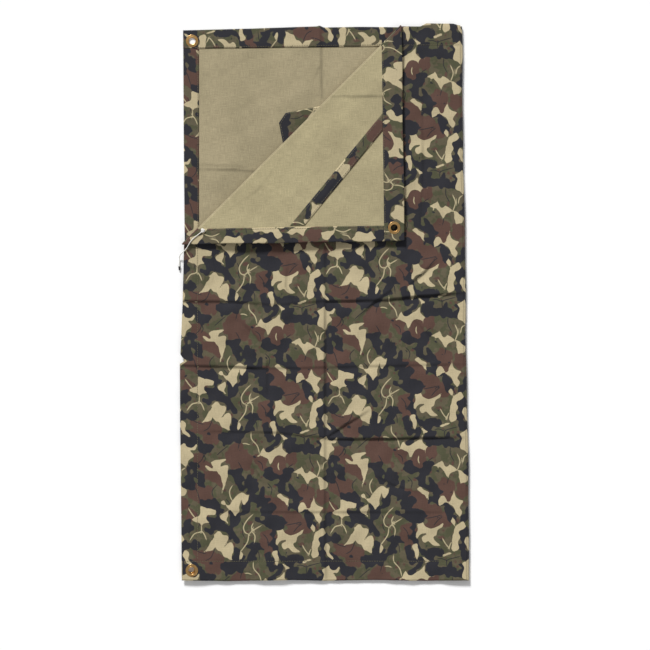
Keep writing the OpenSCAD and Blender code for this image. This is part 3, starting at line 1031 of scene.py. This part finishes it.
def seam_dip(layer, s, t):
    """The thread pulls a shallow groove into the cloth along each hem's seam."""
    off_left = s - (LEFT + SIDE_HEM - SEAM_IN)
    off_top = t - (TOP - TOP_HEM + SEAM_IN + hem_slant(layer, s))
    off_bottom = t - (BOTTOM + BOTTOM_HEM - SEAM_IN)
    dip = sum(SEAM_DIP * np.exp(-(off / 1.8) ** 2) for off in (off_left, off_top, off_bottom))
    return dip if layer != "front" else dip * 1.2


def quads(columns, rows):
    return [((i, j), (i + 1, j), (i + 1, j + 1), (i, j + 1)) for i in range(columns) for j in range(rows)]


def front_cells():
    """The lattice's cells below the diagonal, with half cells along it."""
    cells = [q for q in quads(COLUMNS, ROWS) if q[0][1] < q[0][0] + BELOW_CELLS]
    return cells + [((i, i + BELOW_CELLS), (i + 1, i + BELOW_CELLS), (i + 1, i + 1 + BELOW_CELLS))
                    for i in range(CORNER_CELLS)]


def corner_cells():
    """The lattice's cells above the diagonal, with half cells along it."""
    cells = [q for q in quads(COLUMNS, ROWS) if q[0][1] > q[0][0] + BELOW_CELLS]
    return cells + [((i, i + BELOW_CELLS), (i + 1, i + 1 + BELOW_CELLS), (i, i + 1 + BELOW_CELLS))
                    for i in range(CORNER_CELLS)]


def make_panels():
    columns, rows = 100, 194
    back = build_cloth("back_panel_cloth", "back", quads(columns, rows),
                       panel_spread("back", columns, rows), back_print,
                       ["back_top", "back_bottom"], fine=(False, True))
    front = build_cloth("front_panel_cloth", "front", front_cells(),
                        panel_spread("front", COLUMNS, ROWS), same_print, ["front_bottom"])
    flap = build_cloth("flap_panel_cloth", "flap", corner_cells(),
                       panel_spread("flap", COLUMNS, ROWS), same_print, ["flap"], fine=(True, True))
    keep(back, "back", "back_panel")
    keep(front, "front", "front_panel")
    keep(flap, "flap", "flap_panel")
    return {"back": back, "front": front, "flap": flap}


# ---------- hems ----------

HEM_CELL = 4.9
ROUND_ROWS = 2
# Depth of the slit between the hem's fold and the cloth's edge
FOLD_SLIT = 0.3


def hem_section(p, rows, width, printed):
    """Distance from the hem's outer edge and height over the level, for row p across a hem.
    The first rows run round the folded edge, and the others are flat."""
    turn = np.clip(p / ROUND_ROWS, 0, 1)
    flat = np.clip((p - ROUND_ROWS) / (rows - ROUND_ROWS), 0, 1) * (width - CLOTH)
    if printed:
        angle = math.pi * (turn - 0.5)
        return CLOTH * (1 - np.cos(angle)) + flat, CLOTH * np.sin(angle)
    return CLOTH + FOLD_SLIT * (1 - turn) + flat, CLOTH * (turn - 1)


def make_hem(node, outer, inner, width):
    """A hem between its outer and inner lines, each given by its two ends on the pattern."""
    layer, edge, _ = node.split("_")
    outer, inner = np.array(outer, float), np.array(inner, float)
    columns = round(np.linalg.norm(outer[1] - outer[0]) / HEM_CELL)
    rows = ROUND_ROWS + round(width / HEM_CELL)

    def spread(lattice, printed):
        share = (lattice[:, 0] / columns)[:, None]
        from_edge, z = hem_section(lattice[:, 1], rows, width, printed)
        out = outer[0] + share * (outer[1] - outer[0])
        into = inner[0] + share * (inner[1] - inner[0])
        s, t = (out + (into - out) * (from_edge / width)[:, None]).T
        dip = np.where(z >= 0, seam_dip(layer, s, t), 0)
        return s, t, HEM_SIDE[layer] * z - dip

    def print_at(s, t):
        if edge == "top":
            t = 2 * TOP - t
        elif edge == "bottom":
            t = 2 * BOTTOM - t
        else:
            s = 2 * LEFT - s
        return back_print(s, t) if layer == "back" else (s, t)

    eyelets = [place for place in EYELETS if node in (place + "_hem", place + "_top_hem")]
    # A side hem's hidden side follows its shown side closely enough as it is
    coarse = lowest if edge in ("top", "bottom") else height
    cells = quads(columns, rows)
    piece = build_cloth(node + "_cloth", layer, cells, spread, print_at, eyelets, coarse=coarse)
    return keep(piece, layer, node)


def make_hems():
    """Each hem's outer and inner lines. The ends beside the diagonal are cut along it."""
    top_in, bottom_in, left_in = TOP - TOP_HEM, BOTTOM + BOTTOM_HEM, LEFT + SIDE_HEM
    right_top, right_bottom = (fold_x(TOP), TOP), (fold_x(BOTTOM), BOTTOM)
    right_top_in, right_bottom_in = (fold_x(top_in), top_in), (fold_x(bottom_in), bottom_in)
    bottom = [(LEFT, BOTTOM), right_bottom], [(LEFT, bottom_in), right_bottom_in], BOTTOM_HEM
    top_cut, side_cut = (FOLD_START - TOP_HEM, top_in), (left_in, FOLD_END + SIDE_HEM)
    low_left_in = (left_in, bottom_in)
    slanted = [(s, t + hem_slant("back", s)) for s, t in ((LEFT, top_in), right_top_in)]
    lines = {
        "back_top_hem": ([(LEFT, TOP), right_top], slanted, TOP_HEM),
        "back_left_hem": ([(LEFT, bottom_in), (LEFT, top_in)], [low_left_in, (left_in, top_in)], SIDE_HEM),
        "back_bottom_hem": bottom,
        "front_top_hem": ([(FOLD_START, TOP), right_top], [top_cut, right_top_in], TOP_HEM),
        "front_left_hem": ([(LEFT, bottom_in), (LEFT, FOLD_END)], [low_left_in, side_cut], SIDE_HEM),
        "front_bottom_hem": bottom,
        "flap_top_hem": ([(LEFT, TOP), (FOLD_START, TOP)], [(LEFT, top_in), top_cut], TOP_HEM),
        "flap_side_hem": ([(LEFT, FOLD_END), (LEFT, top_in)], [side_cut, (left_in, top_in)], SIDE_HEM),
    }
    made = {layer: [] for layer in BODY}
    for node, line in lines.items():
        made[node.split("_")[0]].append(make_hem(node, *line))
    return made


# ---------- the two rolled folds ----------

def make_roll(name, line, steps, layers, wrap, out, inset):
    """A half tube of cloth along a line, between the levels of two layers. Its outer side lies
    wrap outside them. out is the way that the fold bulges, and inset how far it starts inside."""
    turns = 6
    below, above = layers

    def place(side, lattice):
        x, y = line(lattice[:, 0] / steps)
        grow = wrap - side * CLOTH
        lower = LEVEL[below] + height(below, x, y) - grow
        upper = LEVEL[above] + height(above, x, y) + grow
        half = (upper - lower) / 2
        angle = math.pi * (lattice[:, 1] / turns - 0.5)
        bulge = half * np.cos(angle)
        z = (upper + lower) / 2 + half * np.sin(angle)
        around = half * (math.pi / 2 - angle)
        spots = x + out[0] * (bulge - inset), y + out[1] * (bulge - inset), z
        # The rolls have no painted crease shade
        return spots, (x + out[0] * around, y + out[1] * around), 0 * z

    kinds = (0, 1) if wrap else (1, 0)
    roll = closed_sheet(name, quads(steps, turns), (True, True), place, [PRINTED, KHAKI], kinds)
    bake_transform(roll)
    return roll


def make_book_roll():
    """Camouflage outside. Its two edges meet the back and the front half's right edges."""
    def line(share):
        y = BOTTOM + (TOP - BOTTOM) * share
        return fold_x(y), y

    steps = 200
    roll = make_roll("book_roll_cloth", line, steps, ("back", "front"), CLOTH, (1, 0), 0)
    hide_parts("book_spine")
    return roll


ROLL_CELL = 4


def make_corner_rolls():
    """Plain side outside, and over each end of the fold a printed band, where a hem crosses it."""
    low_end, high_end = np.array([LEFT, FOLD_END]), np.array([FOLD_START, TOP])
    out = np.array([-1, 1]) / math.sqrt(2)
    made = []
    for name, start, end, wrap in (
        ("corner_roll_cloth", 0, 1, 0),
        ("corner_roll_top_hem", 1 - TOP_HEM / CORNER_LEG, 1, CLOTH),
        ("corner_roll_side_hem", 0, SIDE_HEM / CORNER_LEG, CLOTH),
    ):
        def line(share):
            along = start + (end - start) * share
            return (low_end + along[:, None] * (high_end - low_end)).T

        steps = round((end - start) * np.linalg.norm(high_end - low_end) / ROLL_CELL)
        made.append(make_roll(name, line, steps, ("front", "flap"), wrap, out, CLEARANCE))
    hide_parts("corner_spine")
    return made


# ---------- patch and tape ----------

def rounded_cells(columns, rows, cut):
    """A lattice rectangle with its corners cut off at 45 degrees."""
    cells = []
    for quad in quads(columns, rows):
        kept = tuple(p for p in quad
                     if min(p[0], columns - p[0]) + min(p[1], rows - p[1]) >= cut)
        if len(kept) >= 3:
            cells.append(kept)
    return cells


def make_flat_piece(node, layer, cells, spread_xy, print_at):
    """A cloth piece sewn flat on the layer's plain side, printed side up."""
    def spread(lattice, printed):
        s, t = unlay(layer, *spread_xy(lattice))
        return s, t, (CLOTH if printed else 0) + 0 * s

    piece = build_cloth(node + "_cloth", layer, cells, spread, print_at, coarse=height)
    return keep(piece, layer, node)


PATCH_W = 112
PATCH_H = 84
PATCH_CUT = 15
PATCH_CELL = 5
PATCH_TURN = math.radians(11.5)
PATCH_PRINT = (135, 155)


def make_patch():
    """The patch is a rectangle with cut corners, turned a little on the back half. Its piece of
    print is cut a quarter turn round. Returns the path of its seam."""
    columns, rows = round(PATCH_W / PATCH_CELL), round(PATCH_H / PATCH_CELL)
    centre = middle("back_patch")[:2]
    across = np.array([math.cos(PATCH_TURN), math.sin(PATCH_TURN)])
    up = np.array([-math.sin(PATCH_TURN), math.cos(PATCH_TURN)])

    def spread_xy(lattice):
        i, j = lattice.T
        along, off = (i / columns - 0.5) * PATCH_W, (j / rows - 0.5) * PATCH_H
        return (centre + np.outer(along, across) + np.outer(off, up)).T

    def print_at(s, t):
        return PATCH_PRINT[0] + t, PATCH_PRINT[1] - s

    cells = rounded_cells(columns, rows, round(PATCH_CUT / PATCH_CELL))
    patch = make_flat_piece("back_patch", "back", cells, spread_xy, print_at)
    half_w, half_h = PATCH_W / 2, PATCH_H / 2
    corners = []
    for x, y in ((1, -1), (1, 1), (-1, 1), (-1, -1)):
        ends = [(x * (half_w - PATCH_CUT), y * half_h), (x * half_w, y * (half_h - PATCH_CUT))]
        corners += ends if x * y < 0 else ends[::-1]
    inset = 1 - 2 * SEAM_IN / PATCH_H
    return [centre + (a * across + b * up) * inset for a, b in [corners[-1], *corners]]


TAPE_HIGH = np.array([101.0, 319.5])
TAPE_LOW = np.array([-41.0, 147.0])
TAPE_W = 20.0
TAPE_PRINT = (128, 216)
# The tape's ends stop this far from the side and the top hem
TAPE_GAPS = (2.0, 3.5)


def make_tape():
    """Printed tape across the turned corner, its ends cut along the two hems. Its print runs
    along it. Returns the paths of its two seams."""
    run = TAPE_HIGH - TAPE_LOW
    long = np.linalg.norm(run)
    way = run / long
    side = np.array([-way[1], way[0]])
    columns, rows = 50, 4
    top_line = high("flap_top_hem")[0] - TOP_HEM
    side_line = low("flap_side_hem")[1] + SIDE_HEM

    def spread_xy(lattice):
        i, j = lattice.T
        off = (j / rows - 0.5) * TAPE_W
        start = (side_line + TAPE_GAPS[0] - TAPE_LOW[1] - off * side[1]) / way[1]
        end = (top_line - TAPE_GAPS[1] - TAPE_LOW[0] - off * side[0]) / way[0]
        along = start + (end - start) * i / columns
        return (TAPE_LOW + np.outer(along, way) + np.outer(off, side)).T

    def print_at(s, t):
        spot = np.array(lay("flap", s, t)).T - TAPE_LOW
        return spot @ way + TAPE_PRINT[0], spot @ side + TAPE_PRINT[1]

    tape = make_flat_piece("flap_tape", "flap", quads(columns, rows), spread_xy, print_at)
    seam_in, seam_short = 3, 8
    inset = (TAPE_W / 2 - seam_in) * side
    ends = TAPE_LOW + seam_short * way, TAPE_HIGH - seam_short * way
    return [[unlay("flap", *(end + sign * inset)) for end in ends] for sign in (-1, 1)]


# ---------- stitches ----------

THREAD = fibre_material("sewing_thread", srgb(92, 86, 66), srgb(150, 142, 112), 900, 0.8)
STITCH = 3.3
STITCH_STEP = 4.3
STITCH_R = 0.32
# A stitch's rings: their places along it and their thickness, as shares of the whole
STITCH_RINGS = [(-0.5, 0.25), (-0.42, 0.75), (-0.2, 1.0), (0.2, 1.0), (0.42, 0.75), (0.5, 0.25)]
STITCH_SIDES = 6


def stitch_centres(path):
    """The middles and directions of the stitches along a path of straight stretches."""
    for a, b in zip(path, path[1:]):
        a, b = np.array(a, float), np.array(b, float)
        length = np.linalg.norm(b - a)
        count = int(length / STITCH_STEP)
        for k in range(count):
            yield a + (b - a) * (k + 0.5) / count, (b - a) / length


def make_stitches(node, layer, paths, over):
    """Rows of short stitches lying on the cloth, with their thin ends pulled down into it. over is
    the height over the layer's level."""
    sides = STITCH_SIDES
    points, faces = [], []
    for path in paths:
        for centre, way in stitch_centres(path):
            spot = np.array(lay(layer, *uneven(layer, *centre)))
            if min(np.hypot(*(spot - at[:2])) for at in EYELETS_AT[layer]) < FLANGE_R + 2:
                continue
            ahead = np.array(lay(layer, *uneven(layer, *(centre + way))))
            along = (ahead - spot) / np.linalg.norm(ahead - spot)
            base = len(points)
            for share, fat in STITCH_RINGS:
                x, y = spot + along * share * STITCH
                z = LEVEL[layer] + over + float(height(layer, np.array([x]), np.array([y]))[0])
                for angle in 2 * math.pi * np.arange(sides) / sides:
                    off = STITCH_R * fat * math.cos(angle)
                    lift = STITCH_R * fat * (math.sin(angle) + 0.1) - 0.12 * (1 - fat)
                    points.append((x - along[1] * off, y + along[0] * off, z + lift))
            for first in range(base, len(points) - sides, sides):
                for k in range(sides):
                    n = (k + 1) % sides
                    faces.append([first + k, first + n, first + sides + n, first + sides + k])
            faces.append([base + k for k in range(sides)][::-1])
            faces.append([len(points) - sides + k for k in range(sides)])
    piece = make_object(node + "_stitches", np.array(points), faces, [THREAD])
    return keep(piece, layer, node)


def make_seams():
    """The seams run along the hems' inner edges. On the front half they show on the print."""
    top_line, left_line = TOP - TOP_HEM + SEAM_IN, LEFT + SIDE_HEM - SEAM_IN
    bottom_line = BOTTOM + BOTTOM_HEM - SEAM_IN
    on_hem, on_print = CLOTH, CLOTH - 0.1
    past, end_gap = 8, 2
    fold_top, fold_left = top_line - DIAGONAL, left_line + DIAGONAL
    left_top = TOP - TOP_HEM - end_gap
    for layer, over in (("back", on_hem), ("front", on_print)):
        start = LEFT + 3 if layer == "back" else fold_top + past
        end = left_top if layer == "back" else fold_left - past
        top_row = [(s, top_line + hem_slant(layer, s)) for s in (start, 130, fold_x(top_line) - end_gap)]
        rows = {
            "top": top_row,
            "left": [(left_line, BOTTOM + BOTTOM_HEM + end_gap), (left_line, end)],
            "bottom": [(LEFT + 3, bottom_line), (fold_x(bottom_line) - end_gap, bottom_line)],
        }
        for edge, row in rows.items():
            make_stitches(f"{layer}_{edge}_seam", layer, [row], over)
    from_knot = unlay("flap", KNOT_AT[0] + past, KNOT_AT[1])[1]
    top_row = [(LEFT + 3, top_line), (fold_top - past, top_line)]
    make_stitches("flap_top_seam", "flap", [top_row], on_hem)
    make_stitches("flap_side_seam", "flap", [[(left_line, from_knot), (left_line, left_top)]], on_hem)


# ---------- brass, cord and knot ----------

BRASS = brass_material()
CORD = fibre_material("white_cord", srgb(216, 213, 204), srgb(255, 254, 250), 700, 0.85)
TIP = tip_material()


def turned(profile, at, segments=72):
    """Points and faces of a closed profile of radius and height, turned round a vertical axis."""
    profile = np.array(profile, float)
    count = len(profile)
    points = []
    for k in range(segments):
        angle = 2 * math.pi * k / segments
        for r, z in profile:
            points.append((at[0] + r * math.cos(angle), at[1] + r * math.sin(angle), z))
    faces = []
    for k in range(segments):
        n = (k + 1) % segments
        for p in range(count):
            q = (p + 1) % count
            faces.append([k * count + p, n * count + p, n * count + q, k * count + q])
    return np.array(points), faces


def arc(centre, radii, start, end, steps=6):
    """Points on an arc of an ellipse, angles in degrees."""
    angles = [math.radians(start + (end - start) * k / steps) for k in range(steps + 1)]
    return [(centre[0] + radii[0] * math.cos(a), centre[1] + radii[1] * math.sin(a)) for a in angles]


def make_eyelet(place):
    """The grommet's two halves: a rolled flange with its barrel, and the washer it grips. The front
    half's one is pressed in from the other side."""
    layer = place.split("_")[0]
    for kind in ("eyelet", "washer"):
        node = f"{place}_{kind}"
        base, crown = low(node)[2], high(node)[2]
        if kind == "eyelet":
            foot = crown - (high("back_top_eyelet")[2] - LEVEL["back"] - CLOTH)
            # A rounded lip at the bore, a slightly dished flange with a rolled rim, and the barrel
            profile = arc((BORE_R + 0.9, crown - 0.55), (0.9, 0.55), 180, 60)
            profile += [(BORE_R + 2.6, crown - 0.3), (FLANGE_R - 1.2, crown - 0.42)]
            profile += arc((FLANGE_R - 0.5, foot + 0.28), (0.5, 0.28), 80, -90, 5)
            profile += [(BARREL_R, foot), (BARREL_R, base), (BORE_R, base)]
            if layer == "front":
                profile = [(r, base + crown - z) for r, z in profile]
        else:
            half = (crown - base) / 2
            profile = arc((FLANGE_R - 0.5, base + half), (0.5, half), -90, 90, 8)
            profile += arc((BARREL_R + 0.45, base + half), (0.4, half), 90, 270, 8)
        points, faces = turned(profile, middle(node))
        piece = make_object(node + "_metal", points, faces, [BRASS])
        keep(piece, layer, node)


CORD_R = 0.8
# Pulled tight, the soft cord bunches up in its knot
KNOT_TUBE = 1.2
CORD_ROUTE = [
    (-217.5, 127.5, 13.4), (-221, 124.5, 13.0), (-225.5, 121, 12.7), (-230, 117.5, 12.6),
    (-234.5, 113.5, 12.6), (-238.5, 108.5, 12.6), (-242, 103, 11.4), (-245, 98, 9.8),
    (-249, 93.5, 9.0), (-253.2, 90, 8.6), (-256.4, 86.5, 7.2), (-257.9, 83.2, 4.4),
    (-258.3, 79, 2.3), (-258.5, 74.5, 1.8), (-258.6, 70, 1.9), (-258.6, 66, 2.0),
]


def curve_object(name, line, radius, closed, material):
    data = bpy.data.curves.new(name, "CURVE")
    data.dimensions = "3D"
    spline = data.splines.new("POLY")
    spline.points.add(len(line) - 1)
    for point, place in zip(spline.points, line):
        point.co = (*(np.array(place) * MM), 1)
    spline.use_cyclic_u = closed
    spline.use_smooth = True
    data.bevel_depth = radius * MM
    data.bevel_resolution = 4
    data.use_fill_caps = not closed
    data.materials.append(material)
    piece = bpy.data.objects.new(name, data)
    bpy.context.scene.collection.objects.link(piece)
    return piece


def make_tie():
    """A white overhand knot on the hem, its cord, and the dark tip crimped on the cord's end."""
    low_z, high_z = low("cord_knot")[2], high("cord_knot")[2]
    knot_r = (high("cord_knot") - low("cord_knot"))[0] / 2
    ring, wind = 0.58 * (knot_r - KNOT_TUBE), 0.42 * (knot_r - KNOT_TUBE)
    parts = 90
    line = []
    for k in range(parts):
        a = 2 * math.pi * k / parts
        reach = ring + wind * math.cos(3 * a)
        rise = ((high_z - low_z) / 2 - KNOT_TUBE) * math.sin(3 * a)
        line.append((KNOT_AT[0] + reach * math.cos(2 * a), KNOT_AT[1] + reach * math.sin(2 * a),
                     (low_z + high_z) / 2 + rise))
    knot = curve_object("cord_knot_tied", line, KNOT_TUBE, True, CORD)
    keep(knot, "flap", "cord_knot")

    route = smooth_line(np.array(CORD_ROUTE, float), closed=False, parts=4)
    cord = curve_object("tie_cord_line", route, CORD_R, False, CORD)
    keep(cord, "flap", "tie_cord")

    tip_low, tip_high = low("cord_tip"), high("cord_tip")
    tip_r = (tip_high - tip_low)[0] / 2
    long = tip_high[1] - tip_low[1]
    # Blunt where the cord goes in, with a pinched waist and a rounded far end
    profile = [(0.02, 0), (0.9 * tip_r, 0)] + arc((0.9 * tip_r, 0.3), (0.1 * tip_r, 0.3), -90, 0, 3)
    profile += [(0.82 * tip_r, 0.35 * long), (0.86 * tip_r, 0.42 * long), (0.76 * tip_r, 0.55 * long)]
    profile += arc((0.4 * tip_r, long - 0.9), (0.3 * tip_r, 0.9), 0, 90, 4) + [(0.02, long)]
    points, faces = turned(profile, (0, 0), 32)
    end = CORD_ROUTE[-1]
    points = np.array([(end[0] + x, tip_high[1] - z, end[2] + y) for x, y, z in points])
    tip = make_object("cord_tip_crimped", points, faces, [TIP])
    keep(tip, "flap", "cord_tip")
    np.array(CORD_ROUTE[0]) * MM


def make_floor():
    """A wide pale floor, a hair below the cloth. Its sizes are in metres."""
    reach, drop = 12.0, 0.0002
    mesh = bpy.data.meshes.new("floor")
    corners = [(-reach, -reach, 0), (reach, -reach, 0), (reach, reach, 0), (-reach, reach, 0)]
    mesh.from_pydata(corners, [], [(0, 1, 2, 3)])
    mesh.materials.append(floor_material())
    floor = bpy.data.objects.new("floor", mesh)
    floor.location.z = -drop
    bpy.context.scene.collection.objects.link(floor)


# ---------- the scene ----------

place_camera()
light_studio()
make_tie()
make_floor()
panels = make_panels()
hems = make_hems()
book_roll = make_book_roll()
corner_rolls = make_corner_rolls()
patch_path = make_patch()
tape_paths = make_tape()
make_seams()
make_stitches("back_patch_seam", "back", [patch_path], CLOTH)
make_stitches("flap_tape_seams", "flap", tape_paths, CLOTH)
for eyelet_place in EYELETS:
    make_eyelet(eyelet_place)

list(hems["back"])
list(hems["front"])
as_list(hems["flap"])
